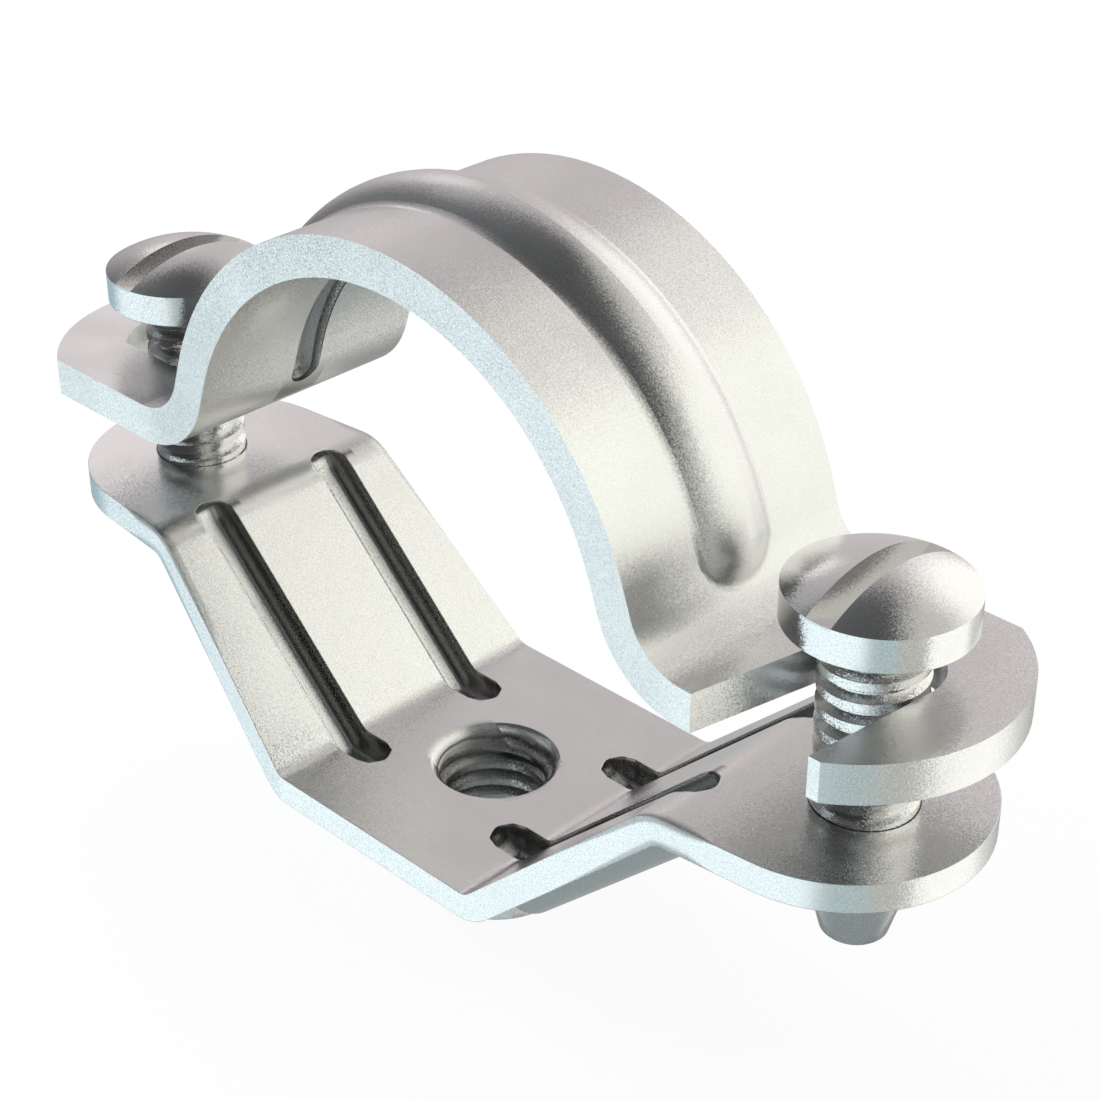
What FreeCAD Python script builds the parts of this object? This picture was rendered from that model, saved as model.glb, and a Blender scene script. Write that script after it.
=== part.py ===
# Spacer clamp for a 28 mm pipe, held on one M6 rod or screw.
# Two pressed steel strips and two slotted screws:
#   lower_saddle  folded strip with a tapped collar drawn down from its base and two
#                 stiffening beads on each leg
#   upper_strap   bowed strip with one raised bead, a wide hole at its left end and a
#                 slanted hook slot at its right end, so that it swings open
#   left_screw, right_screw  domed cheese-head screws in the saddle's tapped ears
# Frame in mm: X runs along the strips, Y across them, +Z up, and the origin is the
# middle of the collar's lower rim. The hook slot opens towards -Y.

import FreeCAD, Part
import math
import os
from FreeCAD import Vector

# Pipe
pipe_radius = 13.9          # hollow side of the strap's bow
pipe_lift = 0.9             # from the saddle's base up to the pipe, before it is tightened

# Saddle
saddle_sheet = 1.5
saddle_width = 17.6         # across the base
base_flat = 13.7            # between the two base creases, on the upper face
leg_angle = 43.5            # degrees above the base
crease_width = 15.0         # the strip has narrowed to this at the ear creases
ear_overhang = 5.7          # from a screw's axis to the tip of the ear
ear_end_narrowing = 0.5     # each side, from the ear crease to the round end
bend_inside_radius = 1.0

# Tapped collar drawn down from the base
collar_length = 7.4         # from its lower rim to the base's upper face
collar_wall = 1.15
rod_thread_radius = 3.0
bore_lip_bevel = 0.35
collar_root_bevel = 0.5
collar_rim_bevel = 0.25

# Beads pressed into the saddle's legs
leg_bead_offset = 4.0       # from the middle plane to the bead's middle
leg_bead_groove_radius = 1.1
leg_bead_depth = 1.4
leg_bead_base_run = 1.7     # along the base, from the crease to the middle of its round end

# Strap
strap_sheet = 2.0
strap_width = 13.9
strap_gap = 4.8             # between the saddle's ears and the strap's ears
bow_centre_lift = 0.3       # bow centre above the underside of the strap's ears
flank_angle = 18.8          # degrees that the bow's flanks lean in from upright
strap_bend_radius = 3.15    # on the hollow side of the bend between bow and ear
strap_overhang = 6.5        # from a screw's axis to the tip of the ear
strap_end_bulge = 3.85      # how far the curved end stands out past its corners

# Bead pressed into the bow
bow_bead_groove_radius = 0.9
bow_bead_depth = 1.0
bow_ridge_end_angle = 17.5  # degrees above the bow's level middle line
bow_groove_end_angle = 12.0
bow_bead_root = 0.6         # rounded foot of the ridge

# Screws
screw_from_pipe = 9.3       # from the pipe's side to a screw's axis
screw_length = 16.3         # under the head
shank_radius = 2.45
tap_clearance = 0.05        # radial, between a shank and its hole in the saddle
head_gap = 2.4              # from the strap's ears to the underside of the heads
head_radius = 4.25
head_side = 1.7
head_dome = 1.2
driver_slot = 1.3
tip_length = 2.7
tip_step = 0.15             # radial, where the plain tip starts below the thread
tip_end_radius = 1.6

# Openings in the strap's ears
hole_play = 1.5             # from the shank to the hole's round ends, with both centred
hole_flat_clearance = 0.65  # from the shank to each of the hole's two flats
hole_shift = 0.7            # from the screw's axis to the hole's middle, towards the bow
hook_clearance = 0.3        # each side of the shank
hook_slant = 11.5           # degrees between the slot and Y
hook_end_past = 0.4         # middle of the slot's round end, past the screw's axis
hook_swing_clearance = 0.12 # between the finger and the shank while the strap swings

# Levels and places that follow
base_top = collar_length
bow_centre = base_top + pipe_lift + pipe_radius
strap_bottom = bow_centre - bow_centre_lift
strap_top = strap_bottom + strap_sheet
ear_top = strap_bottom - strap_gap
head_bottom = strap_top + head_gap
screw_x = pipe_radius + screw_from_pipe
base_half = base_flat / 2
crease_x = base_half + (ear_top - base_top) / math.tan(math.radians(leg_angle))
saddle_reach = screw_x + ear_overhang
strap_reach = screw_x + strap_overhang
leg_ridge_radius = leg_bead_groove_radius + saddle_sheet
bow_ridge_radius = bow_bead_groove_radius + strap_sheet

margin = 5.0                # how far cutting tools run past the metal
end_step = 38               # degrees between the two cones that end a leg's bead
groove_step = 30            # degrees between the flats of the bow's groove
dome_cones = 4              # cones that make up a screw head's dome
same_size = 1e-4            # two radii closer than this are the same radius


def side_point(x, z):
    return Vector(x, 0, z)


def line(start, end):
    return Part.makeLine(start, end)


def arc(start, middle, end):
    return Part.Arc(start, middle, end).toShape()


def arc_about(centre, start, end):
    """Arc from start to end, the short way round centre."""
    radius = (start - centre).Length
    towards = (start + end - centre * 2).normalize()
    return arc(start, centre + towards * radius, end)


def closed_face(edges):
    return Part.Face(Part.Wire(Part.__sortEdges__(edges)))


def polygon(corners):
    """Face on the corners of a closed outline."""
    return Part.Face(Part.Wire(Part.makePolygon(corners + corners[:1])))


def turned(corners):
    """Solid of revolution about Z, from the corners of a closed XZ outline."""
    return polygon(corners).revolve(Vector(0, 0, 0), Vector(0, 0, 1), 360)


def prism(edges, bottom, top):
    """Solid on a closed outline of XY edges, between two levels."""
    face = closed_face(edges)
    face.translate(Vector(0, 0, bottom))
    return face.extrude(Vector(0, 0, top - bottom))


def shifted_line(start, end, distance):
    """A point and the direction of the line from start to end, moved left by distance."""
    along = (end - start).normalize()
    left = Vector(-along.z, 0, along.x)
    return start + left * distance, along


def shifted_corners(corners, distance):
    """Corners of an open XZ outline after each straight run moves left by distance."""
    runs = [shifted_line(a, b, distance) for a, b in zip(corners, corners[1:])]
    moved = [runs[0][0]]
    for (start, along), (other, across) in zip(runs, runs[1:]):
        turn = along.x * across.z - along.z * across.x
        gap = other - start
        moved.append(start + along * ((gap.x * across.z - gap.z * across.x) / turn))
    last_start, last_along = runs[-1]
    moved.append(last_start + last_along * (corners[-1] - corners[-2]).Length)
    return moved


def rounded_edges(corners, radii):
    """Lines and tangent arcs through the corners of an open outline."""
    edges = []
    start = corners[0]
    for before, corner, after, radius in zip(corners, corners[1:], corners[2:], radii):
        back = (before - corner).normalize()
        ahead = (after - corner).normalize()
        half = back.getAngle(ahead) / 2
        reach = radius / math.tan(half)
        centre = corner + (back + ahead).normalize() * (radius / math.sin(half))
        arc_start = corner + back * reach
        arc_end = corner + ahead * reach
        edges.append(line(start, arc_start))
        edges.append(arc_about(centre, arc_start, arc_end))
        start = arc_end
    edges.append(line(start, corners[-1]))
    return edges


def left_turns(corners):
    """True for each inner corner of an open XZ outline that turns left."""
    turns = []
    for before, corner, after in zip(corners, corners[1:], corners[2:]):
        first = corner - before
        second = after - corner
        turns.append(first.x * second.z - first.z * second.x > 0)
    return turns


def across_strip(edges, width):
    """Solid on a closed XZ outline of edges, centred across the strip."""
    solid = closed_face(edges).extrude(Vector(0, width, 0))
    solid.translate(Vector(0, -width / 2, 0))
    return solid


def bent_strip(corners, left_radii, sheet, width):
    """A folded strip that lies to the right of its outline."""
    turns = left_turns(corners)
    right_radii = [r + sheet if left else r - sheet for r, left in zip(left_radii, turns)]
    right_corners = shifted_corners(corners, -sheet)
    edges = rounded_edges(corners, left_radii) + rounded_edges(right_corners, right_radii)
    edges.append(line(corners[0], right_corners[0]))
    edges.append(line(corners[-1], right_corners[-1]))
    return across_strip(edges, width)


def space_beside(corners, left_radii, width, level):
    """The space to the left of a strip's outline, up or down to a level."""
    first = side_point(corners[0].x, level)
    last = side_point(corners[-1].x, level)
    edges = rounded_edges(corners, left_radii)
    edges += [line(corners[0], first), line(first, last), line(last, corners[-1])]
    return across_strip(edges, width)


def tangent_point(point, centre, radius, side):
    """Where a line from point touches a circle in XY, on its left (1) or right (-1)."""
    away = centre - point
    swing = side * math.asin(radius / away.Length)
    share = math.sqrt(away.Length ** 2 - radius ** 2) / away.Length
    swung = FreeCAD.Rotation(Vector(0, 0, 1), math.degrees(swing)).multVec(away)
    return point + swung * share


def arc_corners(radius, first, last, step):
    """Corners on an arc about the origin in XZ, at angles from first to last degrees."""
    count = round((last - first) / step)
    angles = [math.radians(first + step * i) for i in range(count + 1)]
    return [side_point(radius * math.cos(a), radius * math.sin(a)) for a in angles]


def blunt_end(point, outward, radius):
    """Nearly round end of a bar, made of cones."""
    corners = arc_corners(radius, 0, 2 * end_step, end_step)
    end = turned([side_point(0, 0)] + corners + [side_point(0, corners[-1].z)])
    end.Placement = FreeCAD.Placement(point, FreeCAD.Rotation(Vector(0, 0, 1), outward))
    return end


def mitred_bar(corners, radius):
    """Round bar along an open outline, mitred at its corners, with blunt ends."""
    section = Part.Wire(Part.makeCircle(radius, corners[0], corners[1] - corners[0]))
    bar = Part.Wire(Part.makePolygon(corners)).makePipeShell([section], True, False, 1)
    bar = bar.fuse(blunt_end(corners[0], corners[0] - corners[1], radius))
    return bar.fuse(blunt_end(corners[-1], corners[-1] - corners[-2], radius))


def surface_radius(face):
    """Radius of a round face, the section's radius where it is a ring."""
    surface = face.Surface
    if isinstance(surface, Part.Toroid):
        return surface.MinorRadius
    if isinstance(surface, (Part.Cylinder, Part.Sphere)):
        return surface.Radius
    return 0


def rounded_foot(body, bar_radius, fillet):
    """Round every edge where the surface left by a bar of bar_radius meets the rest."""
    edges = []
    for edge in body.Edges:
        faces = body.ancestorsOfType(edge, Part.Face)
        on_bar = [abs(surface_radius(face) - bar_radius) < same_size for face in faces]
        if on_bar.count(True) == 1 and len(faces) == 2:
            edges.append(edge)
    return body.makeFillet(fillet, edges)


def saddle_plan():
    """Plan of the saddle: parallel at the base, tapered to round ears."""
    half = saddle_width / 2
    crease = Vector(crease_x, crease_width / 2, 0)
    end_radius = crease.y - ear_end_narrowing
    touch = tangent_point(crease, Vector(saddle_reach - end_radius, 0, 0), end_radius, 1)
    edges = []
    for sx in (1, -1):
        for sy in (1, -1):
            corner = Vector(sx * base_half, sy * half, 0)
            bend = Vector(sx * crease.x, sy * crease.y, 0)
            edges.append(line(corner, bend))
            edges.append(line(bend, Vector(sx * touch.x, sy * touch.y, 0)))
        edges.append(arc(
            Vector(sx * touch.x, touch.y, 0),
            Vector(sx * saddle_reach, 0, 0),
            Vector(sx * touch.x, -touch.y, 0),
        ))
    for sy in (1, -1):
        edges.append(line(Vector(-base_half, sy * half, 0), Vector(base_half, sy * half, 0)))
    return edges


def leg_bead_points(sx, y):
    """Middle line of one leg's bead: a short run on the base and one up the leg."""
    sink = leg_bead_depth - leg_bead_groove_radius
    slope = math.radians(leg_angle)
    turn_x = base_half + sink * math.tan(slope / 2)
    level = base_top - sink
    rise = (crease_x - turn_x) * math.tan(slope)
    return [
        Vector(sx * (base_half - leg_bead_base_run), y, level),
        Vector(sx * turn_x, y, level),
        Vector(sx * crease_x, y, level + rise),
    ]


def collar():
    """Drawn collar, solid at first, with a flared root under the base."""
    wall = rod_thread_radius + collar_wall
    root = base_top - saddle_sheet
    flared = wall + collar_root_bevel
    return turned([
        side_point(0, 0),
        side_point(wall - collar_rim_bevel, 0),
        side_point(wall, collar_rim_bevel),
        side_point(wall, root - collar_root_bevel),
        side_point(flared, root),
        side_point(flared, base_top),
        side_point(0, base_top),
    ])


def collar_bore():
    """Bore at the thread's outer size, with a bevelled lip at the top."""
    bore = rod_thread_radius
    lipped = bore + bore_lip_bevel
    return turned([
        side_point(0, -margin),
        side_point(bore, -margin),
        side_point(bore, base_top - bore_lip_bevel),
        side_point(lipped, base_top),
        side_point(lipped, base_top + margin),
        side_point(0, base_top + margin),
    ])


def lower_saddle():
    corners = [
        side_point(-saddle_reach - margin, ear_top),
        side_point(-crease_x, ear_top),
        side_point(-base_half, base_top),
        side_point(base_half, base_top),
        side_point(crease_x, ear_top),
        side_point(saddle_reach + margin, ear_top),
    ]
    outside = bend_inside_radius + saddle_sheet
    radii = [outside, bend_inside_radius, bend_inside_radius, outside]
    blank_width = saddle_width + 2 * margin
    body = bent_strip(corners, radii, saddle_sheet, blank_width)
    body = body.common(prism(saddle_plan(), 0, ear_top + margin))
    body = body.fuse(collar())

    space = space_beside(corners, radii, blank_width, ear_top + margin)
    beads = [(sx, sy * leg_bead_offset) for sx in (-1, 1) for sy in (-1, 1)]
    for sx, y in beads:
        body = body.fuse(mitred_bar(leg_bead_points(sx, y), leg_ridge_radius).cut(space))
    for sx, y in beads:
        body = body.cut(mitred_bar(leg_bead_points(sx, y), leg_bead_groove_radius))
    body = body.removeSplitter()

    body = body.cut(collar_bore())
    for sx in (-1, 1):
        below = Vector(sx * screw_x, 0, ear_top - saddle_sheet - margin)
        length = saddle_sheet + 2 * margin
        body = body.cut(Part.makeCylinder(shank_radius + tap_clearance, length, below))
    return body


def strap_plan():
    """Plan of the strap: parallel sides and shallow curved ends with sharp corners."""
    half = strap_width / 2
    corner_x = strap_reach - strap_end_bulge
    edges = []
    for sx in (-1, 1):
        edges.append(arc(
            Vector(sx * corner_x, -half, 0),
            Vector(sx * strap_reach, 0, 0),
            Vector(sx * corner_x, half, 0),
        ))
    for sy in (-1, 1):
        edges.append(line(Vector(-corner_x, sy * half, 0), Vector(corner_x, sy * half, 0)))
    return edges


def pivot_hole():
    """Round hole with two flats at the left ear, wide enough for the strap to shift."""
    middle = -screw_x + hole_shift
    radius = shank_radius + hole_play
    flat = shank_radius + hole_flat_clearance
    height = strap_sheet + 2 * margin
    bottom = strap_bottom - margin
    flats = Part.makeBox(2 * radius, 2 * flat, height, Vector(middle - radius, -flat, bottom))
    return Part.makeCylinder(radius, height, Vector(middle, 0, bottom)).common(flats)


def finger_tip_x():
    """Where the finger's inner wall meets the front edge.

    The shank leaves the slot on an arc about the left screw, and the finger clears it.
    """
    spacing = 2 * screw_x
    shank_x = math.sqrt(spacing ** 2 - (strap_width / 2) ** 2) - screw_x
    return shank_x + shank_radius + hook_swing_clearance


def hook_slot():
    """Slanted slot at the right ear, open at the front edge."""
    radius = shank_radius + hook_clearance
    front = -strap_width / 2
    slant = math.radians(hook_slant)
    out = Vector(-math.sin(slant), -math.cos(slant), 0)
    across = Vector(-out.y, out.x, 0)
    centre = Vector(screw_x, 0, 0) - out * hook_end_past
    left_touch = centre - across * radius
    left_out = left_touch + out * ((front - margin - left_touch.y) / out.y)
    tip = Vector(finger_tip_x(), front, 0)
    right_touch = tangent_point(tip, centre, radius, -1)
    finger = (tip - right_touch).normalize()
    right_out = tip - finger * (margin / finger.y)
    edges = [
        arc(left_touch, centre - out * radius, right_touch),
        line(right_touch, right_out),
        line(right_out, left_out),
        line(left_out, left_touch),
    ]
    return prism(edges, strap_bottom - margin, strap_top + margin)


def bow_bead_path(end_angle):
    """Right end of a bead's middle line, and the way out from the bow's centre there."""
    angle = math.radians(end_angle)
    outward = side_point(math.cos(angle), math.sin(angle))
    path_radius = pipe_radius + bow_bead_depth - bow_bead_groove_radius
    return side_point(0, bow_centre) + outward * path_radius, outward


def swept_over_bow(section, end, end_angle):
    """Solid from a section at the right end to the left, closed by end and its mirror image."""
    turn = 180 - 2 * end_angle
    bar = section.revolve(side_point(0, bow_centre), Vector(0, -1, 0), turn)
    return bar.fuse(end).fuse(end.mirror(Vector(0, 0, 0), Vector(1, 0, 0)))


def bow_ridge():
    """Round bar over the bow, with ball ends."""
    start, outward = bow_bead_path(bow_ridge_end_angle)
    along = outward.cross(Vector(0, 1, 0))
    circle = Part.makeCircle(bow_ridge_radius, start, along)
    ball = Part.makeSphere(bow_ridge_radius, start)
    return swept_over_bow(Part.Face(Part.Wire(circle)), ball, bow_ridge_end_angle)


def bow_groove():
    """Bar under the ridge, its round section made of flats."""
    start, outward = bow_bead_path(bow_groove_end_angle)
    turn = FreeCAD.Rotation(outward, Vector(), Vector(0, 1, 0), "XZY")
    place = FreeCAD.Placement(start, turn)
    section = polygon(arc_corners(bow_bead_groove_radius, 0, 360 - groove_step, groove_step))
    half_section = polygon(arc_corners(bow_bead_groove_radius, 0, 180, groove_step))
    section.Placement = place
    half_section.Placement = place
    end = half_section.revolve(start, outward * -1, 180)
    return swept_over_bow(section, end, bow_groove_end_angle)


def upper_strap():
    flank = math.radians(flank_angle)
    knee_x = (pipe_radius + bow_centre_lift * math.sin(flank)) / math.cos(flank)
    apex = bow_centre + pipe_radius / math.sin(flank)
    corners = [
        side_point(strap_reach + margin, strap_bottom),
        side_point(knee_x, strap_bottom),
        side_point(0, apex),
        side_point(-knee_x, strap_bottom),
        side_point(-strap_reach - margin, strap_bottom),
    ]
    knee_radius = strap_bend_radius + strap_sheet
    radii = [knee_radius, pipe_radius, knee_radius]
    body = bent_strip(corners, radii, strap_sheet, strap_width)
    body = body.common(prism(strap_plan(), strap_bottom - margin, apex))

    space = space_beside(corners, radii, strap_width, strap_bottom - margin)
    body = body.fuse(bow_ridge().cut(space)).removeSplitter()
    body = rounded_foot(body, bow_ridge_radius, bow_bead_root)
    body = body.cut(bow_groove())
    body = body.cut(pivot_hole())
    return body.cut(hook_slot())


def screw(x):
    """Domed cheese-head screw with a plain cone tip, its driver slot along Y."""
    shoulder = head_bottom + head_side
    tip = head_bottom - screw_length
    cone_top = tip + tip_length
    dome_radius = (head_radius ** 2 + head_dome ** 2) / (2 * head_dome)
    dome_centre = side_point(0, shoulder + head_dome - dome_radius)
    rim_angle = math.degrees(math.acos(head_radius / dome_radius))
    dome = arc_corners(dome_radius, rim_angle, 90, (90 - rim_angle) / dome_cones)
    profile = [
        side_point(0, tip),
        side_point(tip_end_radius, tip),
        side_point(shank_radius - tip_step, cone_top),
        side_point(shank_radius, cone_top),
        side_point(shank_radius, head_bottom),
        side_point(head_radius, head_bottom),
    ]
    body = turned(profile + [dome_centre + corner for corner in dome])
    corner = Vector(-driver_slot / 2, -head_radius - margin, shoulder)
    slot_length = 2 * (head_radius + margin)
    body = body.cut(Part.makeBox(driver_slot, slot_length, head_dome + margin, corner))
    body.translate(Vector(x, 0, 0))
    return body


def main():
    os.makedirs("parts", exist_ok=True)
    pieces = {
        "lower_saddle": lower_saddle(),
        "upper_strap": upper_strap(),
        "left_screw": screw(-screw_x),
        "right_screw": screw(screw_x),
    }
    for name, shape in pieces.items():
        shape.exportStep("parts/" + name + ".step")
        print(name, "valid", shape.isValid(), "solids", len(shape.Solids),
              "volume", round(shape.Volume, 1))


main()
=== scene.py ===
import math

import bpy
from mathutils import Matrix, Vector


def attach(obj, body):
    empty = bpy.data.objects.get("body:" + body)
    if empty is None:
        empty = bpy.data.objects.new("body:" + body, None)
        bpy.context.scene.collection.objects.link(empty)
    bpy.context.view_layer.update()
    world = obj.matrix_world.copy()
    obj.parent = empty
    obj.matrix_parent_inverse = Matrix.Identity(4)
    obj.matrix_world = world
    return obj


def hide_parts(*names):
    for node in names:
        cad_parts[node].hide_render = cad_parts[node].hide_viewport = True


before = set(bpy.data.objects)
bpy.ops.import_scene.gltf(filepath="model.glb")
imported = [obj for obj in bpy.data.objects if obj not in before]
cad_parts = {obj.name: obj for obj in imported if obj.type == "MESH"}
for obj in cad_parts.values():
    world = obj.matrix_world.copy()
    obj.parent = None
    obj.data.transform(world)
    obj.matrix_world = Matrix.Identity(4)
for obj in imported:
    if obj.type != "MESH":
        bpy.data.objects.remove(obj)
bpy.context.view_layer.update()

scene = bpy.context.scene
scene.view_settings.view_transform = "Standard"

MM = 0.001

# Sizes of the solids in mm, which the screws, the threads and the materials repeat
BASE_TOP = 7.4
BASE_HALF = 6.85            # half the flat between the base's creases
EAR_TOP = 17.1
LEG_ANGLE = 43.5            # degrees
LEG_BEAD_OFFSET = 4.0
BORE_RADIUS = 3.0
BOW_CENTRE = 22.2
PIPE_RADIUS = 13.9
SCREW_X = 23.2
SCREW_LENGTH = 16.3
SHANK_RADIUS = 2.45
TIP_LENGTH = 2.7
TIP_STEP = 0.15
TIP_END_RADIUS = 1.6
HEAD_BOTTOM = 26.3
HEAD_RADIUS = 4.25
HEAD_SIDE = 1.7
HEAD_DOME = 1.2
DRIVER_SLOT = 1.3

# Levels on a screw
SCREW_TIP = HEAD_BOTTOM - SCREW_LENGTH
CONE_TOP = SCREW_TIP + TIP_LENGTH
SHOULDER = HEAD_BOTTOM + HEAD_SIDE

# Turned screws
SEGMENTS = 96
DOME_RINGS = 28
TIP_BEVEL = 0.12
ROOT_STEP = 0.1             # height in which the tip's cone steps in to the thread's root
HEAD_BEVEL = 0.1
SMOOTH_ANGLE = 32           # degrees between faces, above which an edge stays sharp

# Threads: a ridge sunk a little into the metal, with sloping flanks and a flat land
THREAD_PITCH = 1.05
THREAD_FLANK = 0.31
THREAD_LAND = 0.42
THREAD_SINK = 0.05
THREAD_STEPS = 96           # in a turn
THREAD_RUN_OUT = 0.35       # of a turn, at each end
SCREW_THREAD_LEVELS = (CONE_TOP - 0.15, HEAD_BOTTOM + 0.1)     # from inside the tip into the head
SCREW_ROOT = 2.08
COLLAR_THREAD_LEVELS = (0.1, BASE_TOP - 0.3)
COLLAR_CREST = 2.62

# Camera, fitted to the photograph: place in mm, direction in degrees, lens and sensor in mm
CAMERA_PLACE = (71.762, -68.909, 79.037)
CAMERA_AZIMUTH = 44.5463
CAMERA_ELEVATION = 30.6897
CAMERA_LENS = 77.23
CAMERA_SENSOR = 36
CAMERA_CLIP = (0.01, 10)    # metres

# Studio. Heights are the Z of a direction of length 1, and a pair is where a blend begins and ends.
SKY_DARK = (0.037, 0.038, 0.039, 1)
SKY_TOP = (0.088, 0.091, 0.094, 1)
SKY_TOP_HEIGHTS = (0.30, 0.75)
GROUND_PALE = (0.72, 0.74, 0.70, 1)
GROUND_BELOW = (0.32, 0.37, 0.38, 1)
GROUND_BELOW_HEIGHTS = (-0.76, -0.90)
HORIZON_HEIGHTS = (-0.22, -0.36)
WHITE = (1, 1, 1, 1)
MATT_CHANGE = -0.3          # of the studio's strength, on matt surfaces
BOX_SIZE = 1.1              # factor for all the boxes' sizes
BOX_EDGE_POWER = 0.385

# Soft boxes: azimuth and elevation of the middle in degrees, half width, half height,
# softness of the edge, colour
SKY_BOXES = (
    (-80, 20, 0.50, 0.75, 0.9, (0.16, 0.17, 0.18, 1)),
    (-108, 44, 0.32, 0.20, 0.8, (0.45, 0.44, 0.45, 1)),
    (135, 56, 0.80, 0.36, 0.8, (0.62, 0.61, 0.57, 1)),
    (68, 8, 0.36, 0.50, 0.8, (0.60, 0.61, 0.57, 1)),
    (-144, 14, 0.62, 0.66, 0.8, (0.63, 0.59, 0.60, 1)),
    (-120, 25, 0.15, 0.15, 0.8, (1.05, 0.99, 1.01, 1)),
    (-179, 10, 0.40, 0.62, 0.7, (1.25, 1.22, 1.18, 1)),
    (124, 14, 0.70, 0.58, 0.6, (1.20, 1.21, 1.12, 1)),
)
GROUND_BOXES = (
    (-88, -36, 0.60, 0.42, 0.7, (0.42, 0.56, 0.64, 1)),
    (-142, -42, 0.46, 0.32, 0.8, (0.42, 0.42, 0.41, 1)),
    (-22, -39, 0.68, 0.38, 0.6, (1.06, 1.22, 1.28, 1)),
    (50, -34, 0.36, 0.40, 0.8, (0.51, 0.63, 0.65, 1)),
    (78, -28, 0.28, 0.40, 0.8, (0.57, 0.58, 0.54, 1)),
    (126, -36, 0.42, 0.36, 0.6, (1.25, 1.26, 1.20, 1)),
)

# Lamps: name, azimuth, elevation, distance and size in metres, power in watts, colour
LAMPS = (
    ("key", -135, 62, 0.6, 0.4, 1.9, (1.0, 1.0, 1.0)),
    ("cool", -60, 35, 0.5, 0.3, 2.3, (0.88, 1.0, 1.04)),
)
LAMP_AIM = (0, 0, 0.02)

# Floor, in metres
FLOOR_HALF = 4.0
FLOOR_DROP = 0.0003
FLOOR_COLOUR = (0.9, 0.9, 0.9, 1)
FLOOR_GLOW = 0.93           # share of plain white in what the camera sees of it

# Zinc: noise scales per metre, and what the clouds change at most
ZINC_TINT = (0.80, 0.795, 0.785)
CLOUD_SCALE = 240.0
CLOUD_RANGE = (0.3, 0.7)    # values of the noise between which the clouds run
CLOUD_SHADE = 0.03          # share of the colour, both ways
CLOUD_GRAIN = 0.25          # share of the grain, both ways
CLOUD_SMOOTHER = 0.03       # off the roughness
CLOUD_ROUGHER = 0.04        # onto the roughness
SAND_SCALE = 13000.0
SPECKS = 0.28               # share of the colour
CUT_EDGE = (0.2, 0.6)       # share of the normal that faces along Y, on cut edges
CUT_EDGE_SPECKS = 0.45      # added on cut edges


class Graph:
    """A node tree, with short ways to add and join nodes."""

    def __init__(self, owner):
        owner.use_nodes = True
        self.tree = owner.node_tree
        self.nodes = self.tree.nodes
        self.nodes.clear()

    def add(self, kind, inputs=None, **settings):
        node = self.nodes.new(kind)
        for name, value in settings.items():
            setattr(node, name, value)
        for name, value in (inputs or {}).items():
            self.feed(node.inputs[name], value)
        return node

    def feed(self, socket, value):
        if isinstance(value, bpy.types.NodeSocket):
            self.tree.links.new(value, socket)
        else:
            socket.default_value = value

    def output(self, kind, shader):
        self.feed(self.add(kind).inputs["Surface"], shader.outputs[0])

    def math(self, operation, *values):
        node = self.add("ShaderNodeMath", operation=operation)
        for socket, value in zip(node.inputs, values):
            self.feed(socket, value)
        return node.outputs[0]

    def times(self, first, second):
        return self.math("MULTIPLY", first, second)

    def minus(self, first, second):
        return self.math("SUBTRACT", first, second)

    def absolute(self, value):
        return self.math("ABSOLUTE", value)

    def below(self, value, limit):
        """1 where the value is less than the limit, else 0."""
        return self.math("LESS_THAN", value, limit)

    def above(self, value, limit):
        """1 where the value is more than the limit, else 0."""
        return self.math("GREATER_THAN", value, limit)

    def change(self, share, amount, start=1.0):
        """Start plus share times amount."""
        return self.math("MULTIPLY_ADD", share, amount, start)

    def distance(self, first, second):
        """Distance of the point (first, second) from (0, 0)."""
        return self.math("SQRT", self.change(first, first, self.times(second, second)))

    def vector(self, operation, *values, out="Vector"):
        node = self.add("ShaderNodeVectorMath", operation=operation)
        for socket, value in zip(node.inputs, values):
            self.feed(socket, value)
        return node.outputs[out]

    def scaled(self, vector, factor):
        node = self.add("ShaderNodeVectorMath", operation="SCALE")
        self.feed(node.inputs[0], vector)
        self.feed(node.inputs["Scale"], factor)
        return node.outputs[0]

    def split(self, vector):
        return self.add("ShaderNodeSeparateXYZ", {"Vector": vector}).outputs

    def ramp(self, value, start, end, low=0.0, high=1.0):
        """Smooth step from low at start to high at end."""
        node = self.add("ShaderNodeMapRange", interpolation_type="SMOOTHSTEP")
        for name, number in (("Value", value), ("From Min", start), ("From Max", end),
                             ("To Min", low), ("To Max", high)):
            self.feed(node.inputs[name], number)
        return node.outputs[0]

    def blend(self, share, first, second):
        """Colour from first to second by share."""
        node = self.add("ShaderNodeMix", data_type="RGBA")
        self.feed(node.inputs[0], share)
        self.feed(node.inputs[6], first)
        self.feed(node.inputs[7], second)
        return node.outputs[2]

    def mix_shaders(self, share, first, second):
        node = self.add("ShaderNodeMixShader", {"Fac": share})
        self.feed(node.inputs[1], first.outputs[0])
        self.feed(node.inputs[2], second.outputs[0])
        return node


def from_angles(azimuth, elevation):
    """Unit vector, azimuth 0 towards -Y and 90 towards +X."""
    a, e = math.radians(azimuth), math.radians(elevation)
    return Vector((math.sin(a) * math.cos(e), -math.cos(a) * math.cos(e), math.sin(e)))


def set_camera():
    back = from_angles(CAMERA_AZIMUTH, CAMERA_ELEVATION)
    right = Vector((0, 0, 1)).cross(back).normalized()
    turn = Matrix((right, back.cross(right), back)).transposed().to_4x4()
    camera = bpy.data.objects.new("camera", bpy.data.cameras.new("camera"))
    camera.matrix_world = Matrix.Translation(Vector(CAMERA_PLACE) * MM) @ turn
    camera.data.sensor_width = CAMERA_SENSOR
    camera.data.lens = CAMERA_LENS
    camera.data.clip_start, camera.data.clip_end = CAMERA_CLIP
    scene.collection.objects.link(camera)
    scene.camera = camera


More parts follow.
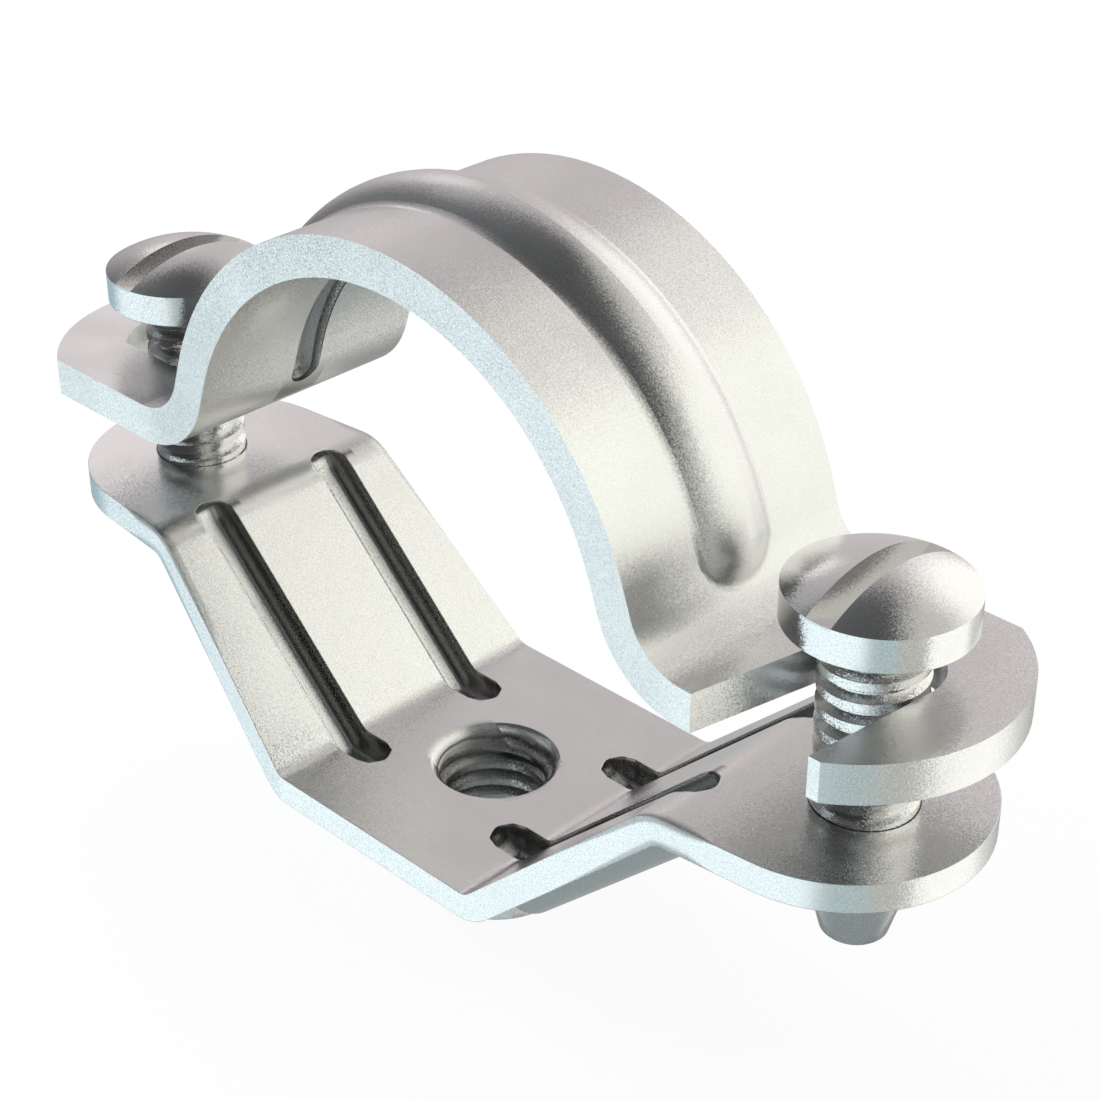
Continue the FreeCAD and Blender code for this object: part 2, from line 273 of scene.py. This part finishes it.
def soft_box(g, direction, azimuth, elevation, half_width, half_height, edge):
    """Share of an oval patch of the sphere, from 1 inside to 0 outside. With an edge of 0.8 it
    fades from 0.54 to 1.25 times its half size."""
    centre = from_angles(azimuth, elevation)
    side = centre.cross(Vector((0, 0, 1))).normalized()
    turn = Matrix((side, side.cross(centre), -centre)).transposed().to_euler()
    inputs = {"Vector": direction, "Location": centre, "Rotation": turn,
              "Scale": (BOX_SIZE * half_width, BOX_SIZE * half_height, 1)}
    local = g.add("ShaderNodeMapping", inputs, vector_type="TEXTURE")
    away = g.vector("LENGTH", local.outputs[0], out="Value")
    return g.ramp(away, (1 + edge) ** BOX_EDGE_POWER, (1 - edge) ** BOX_EDGE_POWER)


def with_boxes(g, direction, colour, boxes):
    """The colour with soft boxes over it, each over those before it."""
    for *shape, box_colour in boxes:
        colour = g.blend(soft_box(g, direction, *shape), colour, box_colour)
    return colour


def set_world():
    """Studio round the object: dark above and in front, soft boxes behind it and at its sides,
    and pale below. The camera sees it plain white."""
    world = bpy.data.worlds.new("studio")
    scene.world = world
    g = Graph(world)
    direction = g.add("ShaderNodeTexCoord").outputs["Generated"]
    height = g.split(direction)["Z"]
    sky = g.blend(g.ramp(height, *SKY_TOP_HEIGHTS), SKY_DARK, SKY_TOP)
    sky = with_boxes(g, direction, sky, SKY_BOXES)
    ground = with_boxes(g, direction, GROUND_PALE, GROUND_BOXES)
    ground = g.blend(g.ramp(height, *GROUND_BELOW_HEIGHTS), ground, GROUND_BELOW)
    studio = g.blend(g.ramp(height, *HORIZON_HEIGHTS), sky, ground)
    path = g.add("ShaderNodeLightPath").outputs
    studio = g.blend(path["Is Camera Ray"], studio, WHITE)
    strength = g.change(path["Is Diffuse Ray"], MATT_CHANGE)
    g.output("ShaderNodeOutputWorld", g.add("ShaderNodeBackground", {"Color": studio, "Strength": strength}))


def floor_material():
    """White to the camera, with a soft shadow, and clear to metal, which mirrors the studio's
    lower half through it."""
    material = bpy.data.materials.new("floor_white")
    g = Graph(material)
    path = g.add("ShaderNodeLightPath").outputs
    matt = g.add("ShaderNodeBsdfDiffuse", {"Color": FLOOR_COLOUR})
    glow = g.add("ShaderNodeEmission", {"Color": WHITE, "Strength": 1.0})
    seen = g.mix_shaders(g.times(path["Is Camera Ray"], FLOOR_GLOW), matt, glow)
    mirrored = g.math("MAXIMUM", path["Is Glossy Ray"], path["Is Transmission Ray"])
    clear = g.add("ShaderNodeBsdfTransparent")
    g.output("ShaderNodeOutputMaterial", g.mix_shaders(mirrored, seen, clear))
    return material


def set_floor():
    mesh = bpy.data.meshes.new("floor")
    corners = [(sx * FLOOR_HALF, sy * FLOOR_HALF, 0) for sx, sy in ((-1, -1), (1, -1), (1, 1), (-1, 1))]
    mesh.from_pydata(corners, [], [(0, 1, 2, 3)])
    mesh.materials.append(floor_material())
    floor = bpy.data.objects.new("floor", mesh)
    floor.location.z = -FLOOR_DROP
    scene.collection.objects.link(floor)


def area_light(name, azimuth, elevation, distance, size, power, colour):
    """Square lamp that metal doesn't mirror."""
    light = bpy.data.lights.new(name, "AREA")
    light.size = size
    light.energy = power
    light.color = colour
    lamp = bpy.data.objects.new(name, light)
    outward = from_angles(azimuth, elevation)
    lamp.location = Vector(LAMP_AIM) + outward * distance
    lamp.rotation_mode = "QUATERNION"
    lamp.rotation_quaternion = (-outward).to_track_quat("-Z", "Y")
    lamp.visible_glossy = False
    scene.collection.objects.link(lamp)


def noise(g, place, scale):
    inputs = {"Vector": place, "Scale": scale, "Detail": 1.0, "Roughness": 0.6}
    return g.add("ShaderNodeTexNoise", inputs).outputs


def zinc(name, roughness, grain, look_by_place):
    """Zinc plate with wide faint clouds and sand-like grain. The last argument is a function
    that gives factors for the colour, which paint shade into hollows, and the grain by place on
    the part, and where the part has them also the rounding of edges in mm, the share of the
    normal's Y that stays, and added roughness."""
    material = bpy.data.materials.new(name)
    g = Graph(material)
    coordinates = g.add("ShaderNodeTexCoord").outputs
    place = coordinates["Object"]
    look = look_by_place(g, *g.split(g.scaled(place, 1 / MM)))
    cloud = noise(g, place, CLOUD_SCALE)["Fac"]
    sand = noise(g, place, SAND_SCALE)

    def by_cloud(low, high):
        return g.ramp(cloud, *CLOUD_RANGE, low, high)

    # Colour, with the painted shade from the part's look
    cut_edge = g.ramp(g.absolute(g.split(coordinates["Normal"])["Y"]), *CUT_EDGE)
    specks = g.change(cut_edge, CUT_EDGE_SPECKS, SPECKS)
    level = g.times(by_cloud(1 - CLOUD_SHADE, 1 + CLOUD_SHADE), look["colour"])
    level = g.times(level, g.change(g.minus(sand["Fac"], 0.5), specks))

    # Roughness
    rough = by_cloud(roughness - CLOUD_SMOOTHER, roughness + CLOUD_ROUGHER)
    if "roughness" in look:
        rough = g.math("ADD", rough, look["roughness"])

    # Normal, softened or flattened where the part asks for it, then tilted by the grain
    if "rounding" in look:
        radius = g.times(look["rounding"], MM)
        normal = g.add("ShaderNodeBevel", {"Radius": radius}, samples=4).outputs["Normal"]
    else:
        normal = g.add("ShaderNodeNewGeometry").outputs["Normal"]
    if "sideways" in look:
        kept = g.add("ShaderNodeCombineXYZ", {"X": 1.0, "Y": look["sideways"], "Z": 1.0}).outputs[0]
        normal = g.vector("NORMALIZE", g.vector("MULTIPLY", normal, kept))
    amount = g.times(look["grain"], by_cloud(grain * (1 - CLOUD_GRAIN), grain * (1 + CLOUD_GRAIN)))
    tilt = g.scaled(g.vector("SUBTRACT", sand["Color"], (0.5, 0.5, 0.5)), amount)
    normal = g.vector("NORMALIZE", g.vector("ADD", normal, tilt))

    inputs = {"Base Color": g.scaled(ZINC_TINT, level), "Metallic": 1.0, "Roughness": rough, "Normal": normal}
    g.output("ShaderNodeOutputMaterial", g.add("ShaderNodeBsdfPrincipled", inputs))
    return material


def saddle_look(g, x, y, z):
    """Soft folds and collar rim, grooves in the legs with painted shade on the far wall and a flattened
    normal that keeps the near one light, painted shade and more grain in the bore, and less grain on the
    legs.
    A pair is where a region begins and where it is whole, in mm."""
    bead_half, bead_end, groove_depth = 1.7, 18.3, 1.46
    groove_rim, far_wall_across, near_wall_across = (0.04, 0.20), (0.10, 0.82), (0.78, 0.38)
    bore_side, bore_top = (3.3, 3.1), (7.1, 6.5)
    leg_start, leg_end = (6.5, 9.5), (18.5, 15.5)
    middle_side, middle_end = (8.2, 7.4), (21.0, 19.0)
    out = g.absolute(x)

    # Depth below the upper face. The factor is between the 1 that is right on the level base
    # and the 0.73 that is right on the sloping legs.
    slope = math.tan(math.radians(LEG_ANGLE))
    run = g.math("MINIMUM", g.minus(out, BASE_HALF), (EAR_TOP - BASE_TOP) / slope)
    face = g.change(g.math("MAXIMUM", run, 0.0), slope, BASE_TOP)
    depth = g.times(g.minus(face, z), 0.76)

    # Grooves of the leg beads, across from the middle of each towards +Y
    across = g.minus(y, g.times(g.math("SIGN", y), LEG_BEAD_OFFSET))
    bead = g.times(g.below(g.absolute(across), bead_half), g.below(out, bead_end))
    groove = g.times(g.ramp(depth, *groove_rim), g.times(bead, g.below(depth, groove_depth)))
    # Painted shade: the far wall of each groove is darkened in colour
    painted_far_wall_shade = g.times(g.ramp(across, *far_wall_across), groove)
    near_wall = g.times(g.ramp(across, *near_wall_across), groove)

    # Painted shade: the bore is darkened in colour, and it also gets more grain
    bore_shade_and_grain = g.times(g.ramp(g.distance(x, y), *bore_side), g.ramp(z, *bore_top))
    leg = g.times(g.ramp(out, *leg_start), g.ramp(out, *leg_end))
    middle = g.times(g.ramp(g.absolute(y), *middle_side), g.ramp(out, *middle_end))
    folds = g.times(middle, g.minus(1.0, bead))
    return {
        # Colour: painted shade, darker on the grooves' far walls and in the bore
        "colour": g.times(g.change(painted_far_wall_shade, -0.78), g.change(bore_shade_and_grain, -0.42)),
        "grain": g.change(bore_shade_and_grain, 2.0, g.change(leg, -0.4)),
        "rounding": g.change(folds, 0.60, g.change(groove, 0.32, 0.06)),
        "sideways": g.change(near_wall, -0.70),
    }


def strap_look(g, x, y, z):
    """Painted shade in the groove under the bow's bead and on the inside of the bow, which is also grainier,
    and a duller lower half of the bow. A pair is where a region begins and where it is whole, in mm."""
    bead_half, groove_depth, groove_rim = 1.4, 1.1, (0.05, 0.5)
    inner_half, inner_depth = 6.9, (1.9, 0.4)
    low_side, low_top = (18.5, 16.5), (33.0, 28.0)
    side = g.absolute(y)
    depth = g.minus(g.distance(x, g.minus(z, BOW_CENTRE)), PIPE_RADIUS)
    groove = g.times(g.below(side, bead_half), g.below(depth, groove_depth))
    # Painted shade: the groove under the bead is darkened in colour
    painted_groove_shade = g.times(g.ramp(depth, *groove_rim), groove)
    # Painted shade: the inside of the bow, towards the pipe, is darkened in colour; it also gets more grain
    bow_inside_shade_and_grain = g.times(g.ramp(depth, *inner_depth), g.below(side, inner_half))
    low_part = g.times(g.ramp(g.absolute(x), *low_side), g.ramp(z, *low_top))
    return {
        "colour": g.times(g.change(painted_groove_shade, -0.45), g.change(bow_inside_shade_and_grain, -0.22)),
        "grain": g.change(bow_inside_shade_and_grain, 0.8),
        "roughness": g.times(low_part, 0.08),
    }


def screw_look(g, x, y, z):
    """Painted shade in the driver slot and on the tip, and a grainier threaded shank. The limits stand a
    little off the edges, so that no edge lies on one."""
    tip_end = CONE_TOP + 0.05
    across = g.absolute(g.minus(g.absolute(x), SCREW_X))
    # Painted shade: the driver slot is darkened in colour
    slot = g.times(g.below(across, DRIVER_SLOT / 2 + 0.01), g.above(z, SHOULDER - 0.1))
    shank = g.times(g.below(z, HEAD_BOTTOM - 0.1), g.above(z, tip_end))
    return {
        # Colour: painted shade in the driver slot and on the tip below the cone's top
        "colour": g.change(slot, -0.20, g.change(g.below(z, tip_end), -0.12)),
        "grain": g.change(shank, 1.2),
    }


def mesh_piece(name, points, faces, material, body, slot):
    """Adds a mesh, its points in mm, that rides on a body."""
    mesh = bpy.data.meshes.new(name)
    mesh.from_pydata([Vector(p) * MM for p in points], [], faces)
    mesh.materials.append(material)
    piece = bpy.data.objects.new(name, mesh)
    scene.collection.objects.link(piece)
    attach(piece, body)
    return piece


def smooth(piece):
    for polygon in piece.data.polygons:
        polygon.use_smooth = True
    piece.data.set_sharp_from_angle(angle=math.radians(SMOOTH_ANGLE))


def ring(x, radius, z):
    angles = [2 * math.pi * i / SEGMENTS for i in range(SEGMENTS)]
    return [(x + radius * math.cos(a), radius * math.sin(a), z) for a in angles]


def skin(rows):
    """Points and faces of a tube through rows of equal length, closed at each end."""
    count = len(rows[0])
    points = [p for row in rows for p in row]
    faces = []
    for r in range(len(rows) - 1):
        for i in range(count):
            j = (i + 1) % count
            faces.append((r * count + i, r * count + j, (r + 1) * count + j, (r + 1) * count + i))
    faces.append(tuple(reversed(range(count))))
    faces.append(tuple(range(len(points) - count, len(points))))
    return points, faces


def helix_ridge(x, levels, foot, crest):
    """Screw thread as a ridge that runs out at both ends. Its crest lies outside its foot on a
    screw and inside it in a bore."""
    lowest, highest = levels
    width = THREAD_LAND + 2 * THREAD_FLANK
    run_out = THREAD_STEPS * THREAD_RUN_OUT
    steps = round((highest - lowest - width) / THREAD_PITCH * THREAD_STEPS)
    rows = []
    for k in range(steps + 1):
        angle = 2 * math.pi * k / THREAD_STEPS
        fade = min(1.0, k / run_out, (steps - k) / run_out)
        top = foot + (crest - foot) * fade
        base = lowest + THREAD_PITCH * k / THREAD_STEPS
        section = ((foot, base), (top, base + THREAD_FLANK),
                   (top, base + THREAD_FLANK + THREAD_LAND), (foot, base + width))
        row = [(x + radius * math.cos(angle), radius * math.sin(angle), z) for radius, z in section]
        rows.append(row if crest > foot else row[::-1])
    return skin(rows)


def screw_profile():
    """Radius and level of each ring of a screw, from its tip up to its dome. The shank is at
    the thread's root."""
    profile = [
        (TIP_END_RADIUS - TIP_BEVEL, SCREW_TIP),
        (TIP_END_RADIUS, SCREW_TIP + TIP_BEVEL),
        (SHANK_RADIUS - TIP_STEP, CONE_TOP),
        (SCREW_ROOT, CONE_TOP + ROOT_STEP),
        (SCREW_ROOT, HEAD_BOTTOM),
        (HEAD_RADIUS - HEAD_BEVEL, HEAD_BOTTOM),
        (HEAD_RADIUS, HEAD_BOTTOM + HEAD_BEVEL),
        (HEAD_RADIUS, SHOULDER - HEAD_BEVEL / 2),
    ]
    dome_radius = (HEAD_RADIUS ** 2 + HEAD_DOME ** 2) / (2 * HEAD_DOME)
    dome_centre = SHOULDER + HEAD_DOME - dome_radius
    rim = math.asin(HEAD_RADIUS / dome_radius)
    for k in range(DOME_RINGS):
        angle = rim * (1 - k / DOME_RINGS)
        profile.append((dome_radius * math.sin(angle), dome_centre + dome_radius * math.cos(angle)))
    return profile


def cut_driver_slot(piece, x):
    """Cuts the slot across the head into the piece's mesh."""
    half, end = DRIVER_SLOT / 2, HEAD_RADIUS + 1
    corners = [(x + sx * half, sy * end, z) for z in (SHOULDER, SHOULDER + 2 * HEAD_DOME)
               for sx, sy in ((-1, -1), (1, -1), (1, 1), (-1, 1))]
    sides = [(3, 2, 1, 0), (4, 5, 6, 7), (0, 1, 5, 4), (1, 2, 6, 5), (2, 3, 7, 6), (3, 0, 4, 7)]
    tool_mesh = bpy.data.meshes.new("slot_tool")
    tool_mesh.from_pydata([Vector(c) * MM for c in corners], [], sides)
    tool = bpy.data.objects.new("slot_tool", tool_mesh)
    scene.collection.objects.link(tool)
    cut = piece.modifiers.new("driver_slot", "BOOLEAN")
    cut.operation = "DIFFERENCE"
    cut.solver = "EXACT"
    cut.object = tool
    graph = bpy.context.evaluated_depsgraph_get()
    mesh = bpy.data.meshes.new_from_object(piece.evaluated_get(graph))
    piece.modifiers.clear()
    piece.data = mesh
    bpy.data.objects.remove(tool)


def screw(body, x, material):
    rows = [ring(x, radius, z) for radius, z in screw_profile()]
    piece = mesh_piece(body + "_turned", *skin(rows), material, body, "screw_zinc")
    cut_driver_slot(piece, x)
    smooth(piece)
    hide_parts(body)
    thread = helix_ridge(x, SCREW_THREAD_LEVELS, SCREW_ROOT - THREAD_SINK, SHANK_RADIUS)
    smooth(mesh_piece(body + "_thread", *thread, material, body, "screw_zinc"))


def collar_thread(material):
    thread = helix_ridge(0, COLLAR_THREAD_LEVELS, BORE_RADIUS + THREAD_SINK, COLLAR_CREST)
    smooth(mesh_piece("collar_thread", *thread, material, "saddle", "saddle_zinc"))


set_camera()
set_world()
set_floor()
for lamp in LAMPS:
    area_light(*lamp)

saddle_zinc = zinc("zinc_saddle", 0.22, 0.30, saddle_look)
strap_zinc = zinc("zinc_strap", 0.28, 0.34, strap_look)
turned_zinc = zinc("zinc_turned", 0.18, 0.26, screw_look)

for name, material in (("lower_saddle", saddle_zinc), ("upper_strap", strap_zinc)):
    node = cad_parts[name]
    node.data.materials.clear()
    node.data.materials.append(material)

screw("left_screw", -SCREW_X, turned_zinc)
screw("right_screw", SCREW_X, turned_zinc)
collar_thread(saddle_zinc)
